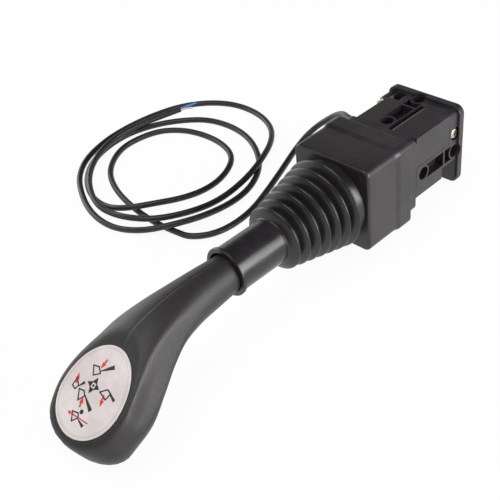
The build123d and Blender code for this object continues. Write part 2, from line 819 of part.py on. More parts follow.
with BuildPart() as grip_screws:
    for x, z in grip_screw_stations:
        bar_y(-grip_screw_seat, grip_screw_reach, grip_screw_diameter, x, z)
        bar_y(-grip_screw_seat - grip_screw_head_height, -grip_screw_seat, grip_screw_head, x, z)
keep("grip_screws", grip_screws)

with BuildPart() as symbol_plate:
    with BuildSketch(badge_plane.offset(-badge_recess)):
        add(badge_outline(0.0))
    extrude(amount=badge_thickness)
keep("symbol_plate", symbol_plate)

# ---- push button and switch ----

button_axis = Axis(button_out.origin, button_out.z_dir)

with BuildPart() as button_bezel:
    with BuildSketch(button_out.offset(bezel_low)):
        Circle(bezel_diameter / 2)
        Circle(button_diameter / 2 + button_clearance, mode=Mode.SUBTRACT)
    extrude(amount=bezel_height)
    chamfer(button_bezel.edges().filter_by(GeomType.CIRCLE).group_by(button_axis)[-1], 0.6)
keep("button_bezel", button_bezel)

button_flange_top = bezel_low - button_clearance
with BuildPart() as push_button:
    with BuildSketch(button_out.offset(button_flange_top - button_flange_thickness)):
        Circle(button_flange / 2)
    extrude(amount=button_flange_thickness)
    with BuildSketch(button_out.offset(button_flange_top)):
        Circle(button_diameter / 2)
    extrude(amount=button_clearance + bezel_height + button_proud)
    fillet(push_button.edges().filter_by(GeomType.CIRCLE).group_by(button_axis)[-1], 1.2)
keep("push_button", push_button)

carrier_top = carrier_place + carrier_thickness
button_spring_room = button_flange_top - button_flange_thickness - carrier_top - 2 * spring_end_gap
button_coil = coil_spring(button_spring_room, button_spring_radius, button_spring_wire, button_spring_turns)
with BuildPart() as button_spring:
    with Locations(button_out.offset(carrier_top + spring_end_gap)):
        add(button_coil)
keep("button_spring", button_spring)

switch_length, switch_width, switch_depth = switch_size
with BuildPart() as switch_carrier:
    with BuildSketch(button_out.offset(carrier_place)):
        Rectangle(2 * shelf_gap + carrier_overlap, carrier_length)
        Circle(plunger_diameter / 2 + button_clearance, mode=Mode.SUBTRACT)
    extrude(amount=carrier_thickness)
keep("switch_carrier", switch_carrier)

with BuildPart() as micro_switch:
    with BuildSketch(button_out.offset(carrier_place)):
        Rectangle(switch_length, switch_width)
    extrude(amount=-switch_depth)
    with BuildSketch(button_out.offset(carrier_place)):
        Circle(plunger_diameter / 2)
    extrude(amount=carrier_thickness + plunger_proud)
    with BuildSketch(button_out.offset(carrier_place - switch_depth)):
        with GridLocations(switch_length / 3, 1, 3, 1):
            Rectangle(terminal_width, switch_width * 0.4)
    extrude(amount=-terminal_length)
keep("micro_switch", micro_switch)

with BuildPart() as switch_lead:
    bar_x(lead_low, lever_end, lead_diameter)
keep("switch_lead", switch_lead)

# ---- cord, laid out on the table ----
# table frame: the lever frame tipped nose up about its own origin and set down; X and Y along the table, Z up


def lowest(shape, tilt):
    """Height of a shape's lowest side once the lever frame is tipped nose up."""
    tipped = Rot(0, -tilt, 0) * shape
    return tipped.bounding_box().min.Z


# the control rests on the end plate's lower edge and on the grip's belly
rest_tilt = 0.0
for _ in range(6):
    drop = lowest(pieces["housing_rear"], rest_tilt) - lowest(pieces["grip_right_half"], rest_tilt)
    rest_tilt += math.degrees(math.atan2(drop, badge_x - case_end))
table_drop = -min(lowest(pieces["housing_rear"], rest_tilt), lowest(pieces["grip_right_half"], rest_tilt))
lay_down = Pos(0, 0, table_drop) * Rot(0, -rest_tilt, 0)

with BuildPart() as cord_grommet:
    with BuildSketch(Plane.XY):
        with BuildLine():
            Polyline(
                (0, -cord_bore_depth),
                (grommet_seat / 2, -cord_bore_depth),
                (grommet_seat / 2, 0),
                (grommet_diameter / 2, 0),
                (grommet_diameter / 2, grommet_flange),
                (grommet_tip / 2 + 0.8, grommet_flange + 0.6),
                (grommet_tip / 2, grommet_length),
                (0, grommet_length),
                close=True,
            )
        make_face()
    revolve(axis=Axis.Y)
cord_grommet.part = Pos(cord_exit_x, -left_face, cord_exit_height) * Rot(180, 0, 0) * cord_grommet.part
keep("cord_grommet", cord_grommet)
exit_point = (lay_down * Pos(cord_exit_x, -left_face - grommet_length, cord_exit_height)).position

floor_height = cord_diameter / 2 + 0.05
cord_route = [
    (exit_point.X, exit_point.Y, exit_point.Z),
    (exit_point.X, exit_point.Y - cord_straight, exit_point.Z),
    (-80.0, -60.0, 36.0),
    (-89.0, -78.0, 20.0),
    (-80.0, -94.0, 8.0),
    (-60.0, -98.0, floor_height),
    (-33.0, -88.5, floor_height),
    (-7.0, -77.0, floor_height),
    (19.0, -72.5, floor_height),
    (42.0, -75.5, floor_height),
    (55.0, -89.0, floor_height),
    (57.0, -102.0, floor_height),
]
corner_radii = []
for before, corner, after in zip(cord_route, cord_route[1:], cord_route[2:]):
    run_in = Vector(*corner) - Vector(*before)
    run_out = Vector(*after) - Vector(*corner)
    turn = math.radians(run_in.get_angle(run_out))
    corner_radii.append(0.45 * min(run_in.length, run_out.length) / math.tan(turn / 2))
print("cord corner radii", [round(radius, 1) for radius in corner_radii])

with BuildPart() as cord:
    with BuildLine() as cord_line:
        FilletPolyline(*cord_route, radius=corner_radii)
    with BuildSketch(Plane(cord_line.line @ 0, z_dir=cord_line.line % 0)):
        Circle(cord_diameter / 2)
    sweep(path=cord_line.line)
cord_run = sum(edge.length for edge in cord_line.edges())
print("cord run length", cord_run)
print("cord volume over section times length", cord.part.volume / (math.pi * cord_diameter**2 / 4 * cord_run))
keep("cord", cord, cord=True)

with BuildPart() as cord_coil:
    with BuildSketch(Plane.XY.offset(0.05)):
        with Locations(coil_centre):
            Ellipse(coil_size[0] / 2, coil_size[1] / 2)
        with Locations(coil_hole_centre):
            Ellipse(coil_hole_size[0] / 2, coil_hole_size[1] / 2, mode=Mode.SUBTRACT)
    extrude(amount=coil_height)
    add(cord.part, mode=Mode.SUBTRACT)
keep("cord_coil", cord_coil, cord=True)

for name, side, length in (("cord_core_blue", 1, core_length), ("cord_core_pale", -1, core_length * 0.7)):
    with BuildPart() as core:
        with BuildSketch(Plane(origin=core_start, x_dir=(0, 0, 1), z_dir=core_direction)):
            with Locations((0, side * core_diameter * 0.6)):
                Circle(core_diameter / 2)
        extrude(amount=length)
    keep(name, core, cord=True)

# ---- lay everything on the table, origin under the middle of the control ----

laid = {name: lay_down * piece for name, piece in pieces.items()}
laid_boxes = [piece.bounding_box() for piece in laid.values()]
middle_x = (min(box.min.X for box in laid_boxes) + max(box.max.X for box in laid_boxes)) / 2
middle_y = (min(box.min.Y for box in laid_boxes) + max(box.max.Y for box in laid_boxes)) / 2
centring = Pos(-middle_x, -middle_y, -min(box.min.Z for box in laid_boxes))
finished = {name: centring * piece for name, piece in laid.items()}
finished.update({name: centring * piece for name, piece in cord_pieces.items()})

os.makedirs("parts", exist_ok=True)
for name, piece in finished.items():
    piece.label = name
    export_step(piece, f"parts/{name}.step")

print("rest tilt", rest_tilt, "table drop", table_drop, "centring", centring.position)
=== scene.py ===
# %% [markdown]
# # A control joystick on a white table
# The real thing is a hand control for a machine: a black plastic casing with a rubber boot, a bent hand grip and a
# loose lead. The measured solids come first, as a fixed frame, and everything else is placed from them.

# %% Load the measured solids
import json
import math

import bmesh
import bpy
from mathutils import Matrix, Vector


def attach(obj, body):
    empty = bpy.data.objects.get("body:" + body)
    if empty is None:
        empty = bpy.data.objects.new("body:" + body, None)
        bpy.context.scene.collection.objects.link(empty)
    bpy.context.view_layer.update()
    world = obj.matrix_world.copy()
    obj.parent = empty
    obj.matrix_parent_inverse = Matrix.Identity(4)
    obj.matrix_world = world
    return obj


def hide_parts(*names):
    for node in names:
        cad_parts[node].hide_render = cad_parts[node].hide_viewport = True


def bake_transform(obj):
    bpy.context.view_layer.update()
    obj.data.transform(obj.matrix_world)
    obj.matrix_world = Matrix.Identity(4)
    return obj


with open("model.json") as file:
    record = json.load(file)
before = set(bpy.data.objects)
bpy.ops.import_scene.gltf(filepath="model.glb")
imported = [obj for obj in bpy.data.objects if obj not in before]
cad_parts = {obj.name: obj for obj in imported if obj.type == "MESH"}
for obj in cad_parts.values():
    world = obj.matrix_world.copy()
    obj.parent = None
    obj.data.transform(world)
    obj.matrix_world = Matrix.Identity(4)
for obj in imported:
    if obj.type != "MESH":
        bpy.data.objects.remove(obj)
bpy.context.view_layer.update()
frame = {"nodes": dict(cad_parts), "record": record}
nodes = frame["nodes"]

# %% [markdown]
# The control lies tipped on the table, so its own directions aren't the table's. The joints in the frame tell where
# the lever's pivot is and which way the lever points, and one matrix then turns millimetres measured along the lever
# into metres on the table. Every piece below is described beside the lever, where its numbers are easy to read.

# %% The lever's own directions
PIVOT_DEPTH = 20.0
joints = {joint["name"]: joint for joint in frame["record"]["behaviour"]["joints"]}
along = Vector(joints["tilt_slide"]["axis"])
across = Vector(joints["lever_tilt"]["axis"])
above = Vector(joints["lever_sway"]["axis"])
front = Vector(joints["lever_tilt"]["pos_m"]) + along * PIVOT_DEPTH / 1000
lever = Matrix.Translation(front) @ Matrix((along, across, above)).transposed().to_4x4() @ Matrix.Scale(0.001, 4)


def place(x, y, z):
    """A point in millimetres beside the lever, as a point in metres on the table."""
    return lever @ Vector((x, y, z))


def linked(name, data):
    """A new object that shows data, in the scene."""
    piece = bpy.data.objects.new(name, data)
    bpy.context.scene.collection.objects.link(piece)
    return piece


print("front of the boot at", tuple(round(value, 4) for value in front))

# %% [markdown]
# A long lens from high up on the grip's side flattens the perspective a little. The camera's directions are three
# unit vectors beside the lever, so the view stays right if the control is laid down another way.

# %% Camera
LENS = 64.8
camera_right = Vector((-0.701, 0.706, -0.097))
camera_up = Vector((-0.490, -0.378, 0.785))
camera_back = Vector((0.518, 0.599, 0.611))
camera_place = (354.0, 322.6, 333.2)
camera_data = bpy.data.cameras.new("studio_camera")
camera_data.lens = LENS
camera_data.sensor_width = 36.0
camera = linked("studio_camera", camera_data)
turn = lever.to_3x3().normalized() @ Matrix((camera_right, camera_up, camera_back)).transposed()
camera.matrix_world = Matrix.Translation(place(*camera_place)) @ turn.to_quaternion().to_matrix().to_4x4()
bpy.context.scene.camera = camera
print("camera at", tuple(round(value, 3) for value in camera.matrix_world.translation))

# %% [markdown]
# Materials are built from nodes. A small class wraps a node's socket, so that a pattern can be written as plain
# arithmetic, and one method makes every other node.

# %% Shader sockets as numbers


class Wire:
    """A socket in a node tree that takes part in Python arithmetic."""

    def __init__(self, tree, socket):
        self.tree = tree
        self.socket = socket

    def maths(self, operation, first, second):
        return make_node(self.tree, "ShaderNodeMath", {"operation": operation}, {0: first, 1: second})

    def __add__(self, other):
        return self.maths("ADD", self, other)

    def __radd__(self, other):
        return self.maths("ADD", other, self)

    def __sub__(self, other):
        return self.maths("SUBTRACT", self, other)

    def __rsub__(self, other):
        return self.maths("SUBTRACT", other, self)

    def __mul__(self, other):
        return self.maths("MULTIPLY", self, other)

    def __rmul__(self, other):
        return self.maths("MULTIPLY", other, self)

    def __truediv__(self, other):
        return self.maths("DIVIDE", self, other)

    def clamped(self):
        return make_node(self.tree, "ShaderNodeClamp", {}, {"Value": self})


def make_node(tree, kind, settings, inputs, output=0):
    """Adds one node: settings first, then the values or links of its sockets. Returns one of its outputs."""
    node = tree.nodes.new(kind)
    for key, value in settings.items():
        setattr(node, key, value)
    for key, value in inputs.items():
        if isinstance(value, Wire):
            tree.links.new(value.socket, node.inputs[key])
        else:
            node.inputs[key].default_value = value
    return Wire(tree, node.outputs[output]) if len(node.outputs) else None


def mixed(tree, share, first, second):
    """A colour between two colours, or links of colours, by share."""
    first = first if isinstance(first, Wire) else (*first, 1.0)
    second = second if isinstance(second, Wire) else (*second, 1.0)
    return make_node(tree, "ShaderNodeMix", {"data_type": "RGBA"}, {0: share, 6: first, 7: second}, 2)


def start_material(name):
    """An empty material with object coordinates to build on."""
    material = bpy.data.materials.new(name)
    material.use_nodes = True
    material.node_tree.nodes.clear()
    coordinates = make_node(material.node_tree, "ShaderNodeTexCoord", {}, {}, "Object")
    return material, material.node_tree, coordinates


def noise(tree, vector, scale, detail=3.0, roughness=0.5):
    """Soft noise from 0 to 1, scale in lumps to the metre."""
    sockets = {"Vector": vector, "Scale": scale, "Detail": detail, "Roughness": roughness}
    return make_node(tree, "ShaderNodeTexNoise", {}, sockets, "Fac")


def creases(tree, vector, scale):
    """Distance to the creases between cells like those of leather, scale in cells to the metre."""
    sockets = {"Vector": vector, "Scale": scale}
    return make_node(tree, "ShaderNodeTexVoronoi", {"feature": "DISTANCE_TO_EDGE"}, sockets, "Distance")


def end_material(material, tree, colour, rough, height, depth, metal=0.0):
    """Ends the tree in the shader and its output. height is a pattern from 0 to 1 and depth its size in metres."""
    bump = make_node(tree, "ShaderNodeBump", {}, {"Height": height, "Distance": depth, "Strength": 1.0})
    sockets = {"Base Color": colour, "Roughness": rough, "Metallic": metal, "IOR": 1.5, "Normal": bump}
    shader = make_node(tree, "ShaderNodeBsdfPrincipled", {}, sockets)
    make_node(tree, "ShaderNodeOutputMaterial", {}, {"Surface": shader})
    return material


# %% [markdown]
# ## Black plastics and rubber
# Four blacks lie side by side on this object, and what tells them apart is their grain and their gloss: the casing's
# moulded plastic, the boot's softer rubber, the sleeve's smooth satin and the grip's leather grain.

# %% Moulded plastic of the casing


def moulded_plastic(name, colour, rough=0.42, grain=2600.0, depth=0.00003):
    """Spark-eroded mould texture, slightly greyed where hands and boxes have rubbed it."""
    material, tree, spot = start_material(name)
    fine = noise(tree, spot, grain, 2.0)
    cloud = noise(tree, spot, 55.0, 4.0, 0.6)
    pale = tuple(min(1.0, value * 1.9 + 0.012) for value in colour)
    shade = mixed(tree, (cloud - 0.42).clamped() * 1.1, colour, pale)
    return end_material(material, tree, shade, cloud * 0.16 + (rough - 0.08), fine, depth)


case_black = moulded_plastic("case_moulding", (0.014, 0.0122, 0.0138), 0.34)

# %% [markdown]
# The boot is soft rubber. It is a little duller than the casing, and a bloom of wax and dust greys it in patches. Two
# noises do that, and the pattern lives in the rubber itself, so it stays with the boot when the lever moves.

# %% Rubber of the boot


def soft_rubber(name, colour, rough=0.5):
    """Rubber with a faint bloom, in soft patches and as fine specks of dust."""
    material, tree, spot = start_material(name)
    bloom = noise(tree, spot, 40.0, 4.0, 0.6)
    fine = noise(tree, spot, 1500.0, 2.0)
    pale = tuple(value * 2.2 + 0.01 for value in colour)
    shade = mixed(tree, (bloom - 0.4).clamped() * 1.2, colour, pale)
    return end_material(material, tree, shade, bloom * 0.2 + (rough - 0.1), fine, 0.00002)


boot_black = soft_rubber("boot_rubber", (0.0135, 0.0118, 0.0130), 0.38)
bellows_black = soft_rubber("bellows_rubber", (0.010, 0.0090, 0.0098), 0.30)
lead_black = soft_rubber("lead_sheath", (0.012, 0.012, 0.012), 0.42)

# %% [markdown]
# Grips are moulded with a leather grain so that they don't slip. A picture of leather would need an unwrapped mesh.
# Voronoi cells give the same pebbles anywhere on the skin: the distance to a cell's edge is a crease.

# %% Leather grain of the grip


def leather_grain(name, colour):
    """Pebbled leather grain as moulds give it: small raised cells with fine creases between them."""
    material, tree, spot = start_material(name)
    wander = noise(tree, spot, 260.0, 2.0)
    edge = creases(tree, spot, 900.0)
    pebble = (edge * 5.0).clamped() * 0.8 + wander * 0.5
    cloud = noise(tree, spot, 30.0, 4.0, 0.6)
    pale = tuple(value * 1.8 + 0.008 for value in colour)
    shade = mixed(tree, (cloud - 0.42).clamped() * 1.2, colour, pale)
    return end_material(material, tree, shade, 0.5 - (edge * 3.0).clamped() * 0.12, pebble, 0.00006)


grip_black = leather_grain("grip_grain", (0.014, 0.0122, 0.0130))
sleeve_black = moulded_plastic("sleeve_satin", (0.011, 0.0098, 0.0110), 0.27, 900.0, 0.000006)

# %% [markdown]
# The screws are yellowish zinc, the springs bright wire and the inner castings dull. One metal with three tints is
# enough, because so little of it is seen. The last colours are for the button, the cores and the plate's pale foil.

# %% Metals and the pieces inside


def plain_metal(name, colour, rough, scratch=700.0):
    """Metal with fine scratches and a cloudy finish."""
    material, tree, spot = start_material(name)
    drawn = make_node(tree, "ShaderNodeMapping", {}, {"Vector": spot, "Scale": (0.1, 1.0, 1.0)})
    lines = noise(tree, drawn, scratch, 2.0)
    cloud = noise(tree, spot, 160.0, 3.0)
    dark = tuple(value * 0.72 for value in colour)
    shade = mixed(tree, (cloud * 1.6 - 0.4).clamped(), dark, colour)
    return end_material(material, tree, shade, cloud * 0.2 + (rough - 0.1), lines, 0.00001, 1.0)


zinc = plain_metal("zinc_plate", (0.72, 0.67, 0.55), 0.34)
spring_wire = plain_metal("spring_wire", (0.55, 0.55, 0.57), 0.3)
die_cast = plain_metal("die_cast", (0.58, 0.58, 0.60), 0.5)
acetal = moulded_plastic("natural_acetal", (0.72, 0.70, 0.64), 0.4)
button_black = moulded_plastic("button_gloss", (0.02, 0.02, 0.022), 0.2, 1200.0, 0.000005)
switch_black = moulded_plastic("switch_body", (0.03, 0.03, 0.033), 0.45)
core_blue = moulded_plastic("blue_core", (0.035, 0.16, 0.55), 0.35, 900.0, 0.00001)
core_pale = moulded_plastic("pale_core", (0.62, 0.52, 0.42), 0.35, 900.0, 0.00001)
plate_pale = moulded_plastic("plate_foil", (0.66, 0.585, 0.575), 0.36, 3000.0, 0.000006)

# %% [markdown]
# Most measured solids already have the shape of the real piece. They only get a finish, all from one table, so that
# it is easy to see which pieces share a material.

# %% Dress the solids that keep their own shape
dressing = {
    case_black: ("housing_front", "housing_rear"),
    boot_black: ("boot_skirt", "cord_grommet"),
    sleeve_black: ("lever_sleeve",),
    zinc: ("case_screws", "grip_screws", "ball_studs", "tilt_rod", "sway_rod", "tilt_collar", "sway_collar",
           "lever_rod", "lock_nut", "sleeve_nut"),
    spring_wire: ("tilt_springs", "sway_springs", "button_spring"),
    die_cast: ("pivot_bracket", "cross_piece", "lever_hub", "grip_insert"),
    acetal: ("bracket_bushes", "hub_bushes", "tilt_fork", "sway_fork", "tilt_guides", "sway_guides"),
    button_black: ("button_bezel", "push_button"),
    switch_black: ("switch_carrier", "micro_switch"),
    lead_black: ("switch_lead",),
    plate_pale: ("symbol_plate",),
}
for material, names in dressing.items():
    for name in names:
        mesh = nodes[name].data
        mesh.materials.clear()
        mesh.materials.append(material)
print("dressed", sum(len(names) for names in dressing.values()), "solids")

# %% [markdown]
# ## The lead
# The lead leaves a grommet on the casing's far side, bends down to the table, runs behind the boot and ends in loose
# turns that fan out. It is one smooth spline: the height of each point says what it lies on, and where a turn
# crosses another it rises over it in a long low hump. The lead ends bare, with its two cores showing.

# %% Route of the lead, in millimetres on the table
LEAD = 4.6
LIES = 2.4
ON_TOP = 8.0
lead_run = [
    (-70.86, -30.3, 43.12),
    (-70.86, -44.3, 43.12),
    (-82, -59, 36),
    (-91, -78, 22),
    (-84, -94, 9),
    (-66, -96),
    (-39, -86.5),
    (-13, -78),
    (14, -71),
    (40, -74.5),
    (55, -88.5),
    (57, -102),
]
first_turn = [
    (59, -124), (57, -150), (51, -178), (40, -201), (23, -215), (5, -220), (-20, -212), (-33, -194),
    (-38, -172), (-37, -149), (-29, -130), (-12, -120), (8, -117, 3.2), (29, -122, 5.5), (50, -136, ON_TOP),
    (65, -151, 7.2),
]
second_turn = [
    (69, -171, 3.0), (66, -192), (54, -213), (36, -227), (14, -232), (-6, -230), (-26, -220), (-42, -205),
    (-54, -187), (-58, -166), (-56, -144), (-48, -124), (-33, -104), (-12, -92, 2.6), (10, -89, 3.6),
    (36, -93, 6.6), (58, -105, ON_TOP),
]
third_turn = [
    (72, -120, 5.8), (80, -142, 2.6), (81, -163), (76, -184), (66, -205), (55, -221), (38, -234), (14, -240),
    (-9, -239), (-33, -233), (-56, -222), (-73, -204), (-83, -181), (-83, -154), (-74, -131, 3.0),
    (-57, -114, 5.8), (-33, -102, ON_TOP),
]
last_turn = [
    (-9, -98, 5.4), (17, -99, 4.2), (40, -106, 6.4), (60, -120, ON_TOP), (70, -138, ON_TOP), (73, -158, 5.6),
    (73, -173, 6.8), (66, -190, ON_TOP), (53, -208, ON_TOP), (34, -222, ON_TOP), (12, -229, 7.6),
    (-9, -227, 7.6), (-30, -219, 7.6), (-48, -211, 7.8),
]


def on_table(x, y, z=LIES):
    """A point in millimetres on the table, measured from below the front of the boot, in metres."""
    return Vector((front.x + x / 1000, y / 1000, z / 1000))


def spline_object(name, points, diameter, material, resolution=8):
    """A smooth round lead through the pull of its control points."""
    curve = bpy.data.curves.new(name, "CURVE")
    curve.dimensions = "3D"
    curve.bevel_depth = diameter / 2
    curve.bevel_resolution = 6
    curve.resolution_u = resolution
    curve.use_fill_caps = True
    spline = curve.splines.new("NURBS")
    spline.points.add(len(points) - 1)
    for spot, point in zip(spline.points, points):
        spot.co = (*point, 1.0)
    spline.order_u = 3
    spline.use_endpoint_u = True
    curve.materials.append(material)
    return linked(name, curve)


route = [on_table(*point) for point in lead_run + first_turn + second_turn + third_turn + last_turn]
lead = spline_object("loose_lead", route, LEAD / 1000, lead_black)
print("lead has", len(route), "control points")

# %% [markdown]
# The sheath is cut back at the end, and a blue and a pale core stick out and spread. Each is a short spline that
# starts inside the sheath, so that no gap shows.

# %% Bare cores at the lead's end
CORE = 1.5
end = route[-1]
heading = (route[-1] - route[-2]).normalized()
aside = Vector((-heading.y, heading.x, 0)).normalized()
cores = []
for name, side, reach, material in (
    ("blue_core_end", 1, 0.015, core_blue),
    ("pale_core_end", -1, 0.010, core_pale),
):
    root = end - heading * 0.004 + aside * side * 0.0009
    bend = end + heading * reach * 0.4 + aside * side * 0.0012
    tip = end + heading * reach + aside * side * 0.0026 - Vector((0, 0, 0.0010))
    cores.append(spline_object(name, (root, bend, tip), CORE / 1000, material))
for piece, node in zip(cores, ("cord_core_blue", "cord_core_pale")):
    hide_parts(node)
    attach(piece, "root")
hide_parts("cord", "cord_coil")
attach(lead, "root")

# %% [markdown]
# ## The bellows
# Seven folds repeat along the lever by one rule, so Geometry Nodes make them: a flat grid is rolled round the lever,
# and a curve gives how deep each fold falls away from its lip. The lips are narrow and the front of each fold is
# long, as rubber bellows are. The lever swings both ways about a cross joint, so the bellows are cut in a valley into
# a short part and a long part. The boot pinches its neck onto the sleeve.

# %% Tree of the folds
FOLDS = 7
FIRST_CREST, LAST_CREST = 9.4, 54.4
FIRST_RADIUS, LAST_RADIUS = 31.0, 21.4
FOLD_DEPTH = 5.4
FOLD_STEP = (LAST_CREST - FIRST_CREST) / (FOLDS - 1)
CUT = FIRST_CREST + FOLD_STEP / 2
NECK_END = 57.8
SLEEVE_RADIUS = 15.0
AROUND = 144
# how far a fold has fallen, from 0 on its lip to 1 in the valley, over one step from valley to valley
FALL = ((0.0, 1.0), (0.10, 0.97), (0.20, 0.72), (0.31, 0.20), (0.38, 0.03), (0.45, 0.0), (0.52, 0.05), (0.62, 0.24),
        (0.78, 0.64), (0.90, 0.93), (1.0, 1.0))

folds_tree = bpy.data.node_groups.new("bellows_folds", "GeometryNodeTree")
folds_tree.interface.new_socket(name="Geometry", in_out="OUTPUT", socket_type="NodeSocketGeometry")
fold_inputs = {}
for label, value in (
    ("Start", 0.0), ("End", 1.0), ("First lip", FIRST_CREST), ("Step", FOLD_STEP), ("First radius", FIRST_RADIUS),
    ("Narrowing", (FIRST_RADIUS - LAST_RADIUS) / (LAST_CREST - FIRST_CREST)), ("Depth", FOLD_DEPTH),
    ("Neck", NECK_END), ("Neck radius", SLEEVE_RADIUS + 0.4),
):
    socket = folds_tree.interface.new_socket(name=label, in_out="INPUT", socket_type="NodeSocketFloat")
    socket.default_value = value
    fold_inputs[label] = socket.identifier
entry = folds_tree.nodes.new("NodeGroupInput")
given = {socket.name: Wire(folds_tree, socket) for socket in entry.outputs if socket.name}
sheet = make_node(folds_tree, "GeometryNodeMeshGrid", {},
                  {"Size X": 1.0, "Size Y": 1.0, "Vertices X": 169, "Vertices Y": AROUND + 1})
spot = make_node(folds_tree, "GeometryNodeInputPosition", {}, {})
split = folds_tree.nodes.new("ShaderNodeSeparateXYZ")
folds_tree.links.new(spot.socket, split.inputs[0])
share, way_round = Wire(folds_tree, split.outputs[0]) + 0.5, Wire(folds_tree, split.outputs[1]) + 0.5
reach = given["Start"] + (given["End"] - given["Start"]) * share
steps_on = (reach - given["First lip"]) / given["Step"] + 0.5
steps_on = steps_on.maths("MAXIMUM", steps_on, 0.0)
phase = steps_on.maths("FRACT", steps_on, 0.0)
fall = folds_tree.nodes.new("ShaderNodeFloatCurve")
graph = fall.mapping.curves[0]
for corner in FALL[1:-1]:
    graph.points.new(*corner)
for point, corner in zip(graph.points, FALL):
    point.location = corner
fall.mapping.update()
folds_tree.links.new(phase.socket, fall.inputs["Value"])
crest = given["First radius"] - (reach - given["First lip"]) * given["Narrowing"]
radius = crest - Wire(folds_tree, fall.outputs[0]) * given["Depth"]
pinch = make_node(folds_tree, "ShaderNodeMapRange", {"interpolation_type": "SMOOTHSTEP"},
                  {"Value": reach, "From Min": given["Neck"] - 1.6, "From Max": given["Neck"]})
radius = radius + (given["Neck radius"] - radius) * pinch
angle = way_round * (-2 * math.pi)
rolled = make_node(folds_tree, "ShaderNodeCombineXYZ", {}, {
    0: reach, 1: radius * angle.maths("COSINE", angle, 0.0), 2: radius * angle.maths("SINE", angle, 0.0)})
shaped = make_node(folds_tree, "GeometryNodeSetPosition", {}, {"Geometry": sheet, "Position": rolled})
closed = make_node(folds_tree, "GeometryNodeMergeByDistance", {}, {"Geometry": shaped, "Distance": 0.0005})
smooth = make_node(folds_tree, "GeometryNodeSetShadeSmooth", {}, {0: closed})
whole = make_node(folds_tree, "GeometryNodeRealizeInstances", {}, {"Geometry": smooth})
made = make_node(folds_tree, "GeometryNodeSetMaterial", {}, {"Geometry": whole, "Material": bellows_black})
folds_out = folds_tree.nodes.new("NodeGroupOutput")
folds_tree.links.new(made.socket, folds_out.inputs[0])
print("folds take", ", ".join(fold_inputs))


# %% [markdown]
# The tree only gives a skin. Solidify adds the rubber's wall, and the result is made a plain mesh, one part on each
# side of the cut.

# %% Make the two parts


def baked(name, tree, values, wall):
    """Runs a tree with its inputs set, gives the skin a wall inwards, and leaves a plain mesh placed by the lever."""
    holder = linked(name + "_tree", bpy.data.meshes.new(name + "_blank"))
    nodes_modifier = holder.modifiers.new("tree", "NODES")
    nodes_modifier.node_group = tree
    for identifier, value in values.items():
        nodes_modifier[identifier] = value
    skin = holder.modifiers.new("wall", "SOLIDIFY")
    skin.thickness = wall
    skin.offset = -1.0
    skin.use_even_offset = False
    mesh = bpy.data.meshes.new_from_object(holder.evaluated_get(bpy.context.evaluated_depsgraph_get()))
    bpy.data.objects.remove(holder)
    mesh.name = name
    mesh.transform(lever)
    piece = linked(name, mesh)
    print(name, "has", len(mesh.polygons), "faces")
    return piece


tilt_values = {fold_inputs["Start"]: 0.3, fold_inputs["End"]: CUT}
sway_values = {fold_inputs["Start"]: CUT, fold_inputs["End"]: NECK_END}
tilt_folds = baked("tilt_folds", folds_tree, tilt_values, 1.2)
sway_folds = baked("sway_folds", folds_tree, sway_values, 1.2)
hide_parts("boot_bellows")
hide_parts("boot_bellows")
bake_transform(tilt_folds)
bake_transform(sway_folds)

# %% [markdown]
# ## The grip
# The grip is moulded in two halves that meet along its middle. Each half is a skin drawn through the same stations as
# the measured one, then pressed flat where the symbol plate lies and where the fingers rest, with soft edges that
# only a skin like this can have. Solidify gives it a wall, and cutters open it for its screws and the button.

# %% Stations of the grip as (along, height, slope in degrees, half width, half thickness)
STATIONS = (
    (80.0, 0.0, 0.0, 12.2, 12.2),
    (95.0, -0.9, -0.8, 12.3, 12.4),
    (112.0, -1.2, -1.2, 13.7, 13.4),
    (129.0, -1.6, -3.5, 15.8, 13.6),
    (145.5, -3.4, -12.5, 19.3, 14.1),
    (160.2, -8.3, -25.7, 24.2, 15.5),
    (174.4, -17.3, -35.2, 28.6, 17.8),
    (189.4, -29.0, -36.5, 31.4, 20.8),
    (204.1, -39.0, -34.0, 29.8, 20.0),
)
DOME = 17.0
GRIP_WALL = 2.6
PLATE_CENTRE = (198.6, -17.2)
PLATE_SLOPE = math.radians(-34.0)
plate_up = Vector((-math.sin(PLATE_SLOPE), 0, math.cos(PLATE_SLOPE)))
plate_ahead = Vector((math.cos(PLATE_SLOPE), 0, math.sin(PLATE_SLOPE)))
EGG_SHIFT, EGG_AHEAD, EGG_BEHIND, EGG_SIDE = 3.0, 23.7, 30.8, 23.4
FINGER_PITCH, FINGER_YAW = math.radians(20.7), math.radians(3.5)
FINGER_PLACE = Vector((178.3, 22.4, -9.0))


def between(before, here, there, after, share):
    """A smooth value between here and there."""
    bend = 2 * before - 5 * here + 4 * there - after
    twist = 3 * here - before - 3 * there + after
    return here + share * ((there - before) + share * (bend + share * twist)) / 2


def eased(value, low, high):
    """Runs smoothly from 0 at low to 1 at high."""
    share = min(1.0, max(0.0, (value - low) / (high - low)))
    return share * share * (3 - 2 * share)


def over(value, soft):
    """How far a value is over zero, rounded off near zero."""
    return (value + math.sqrt(value * value + soft * soft)) / 2


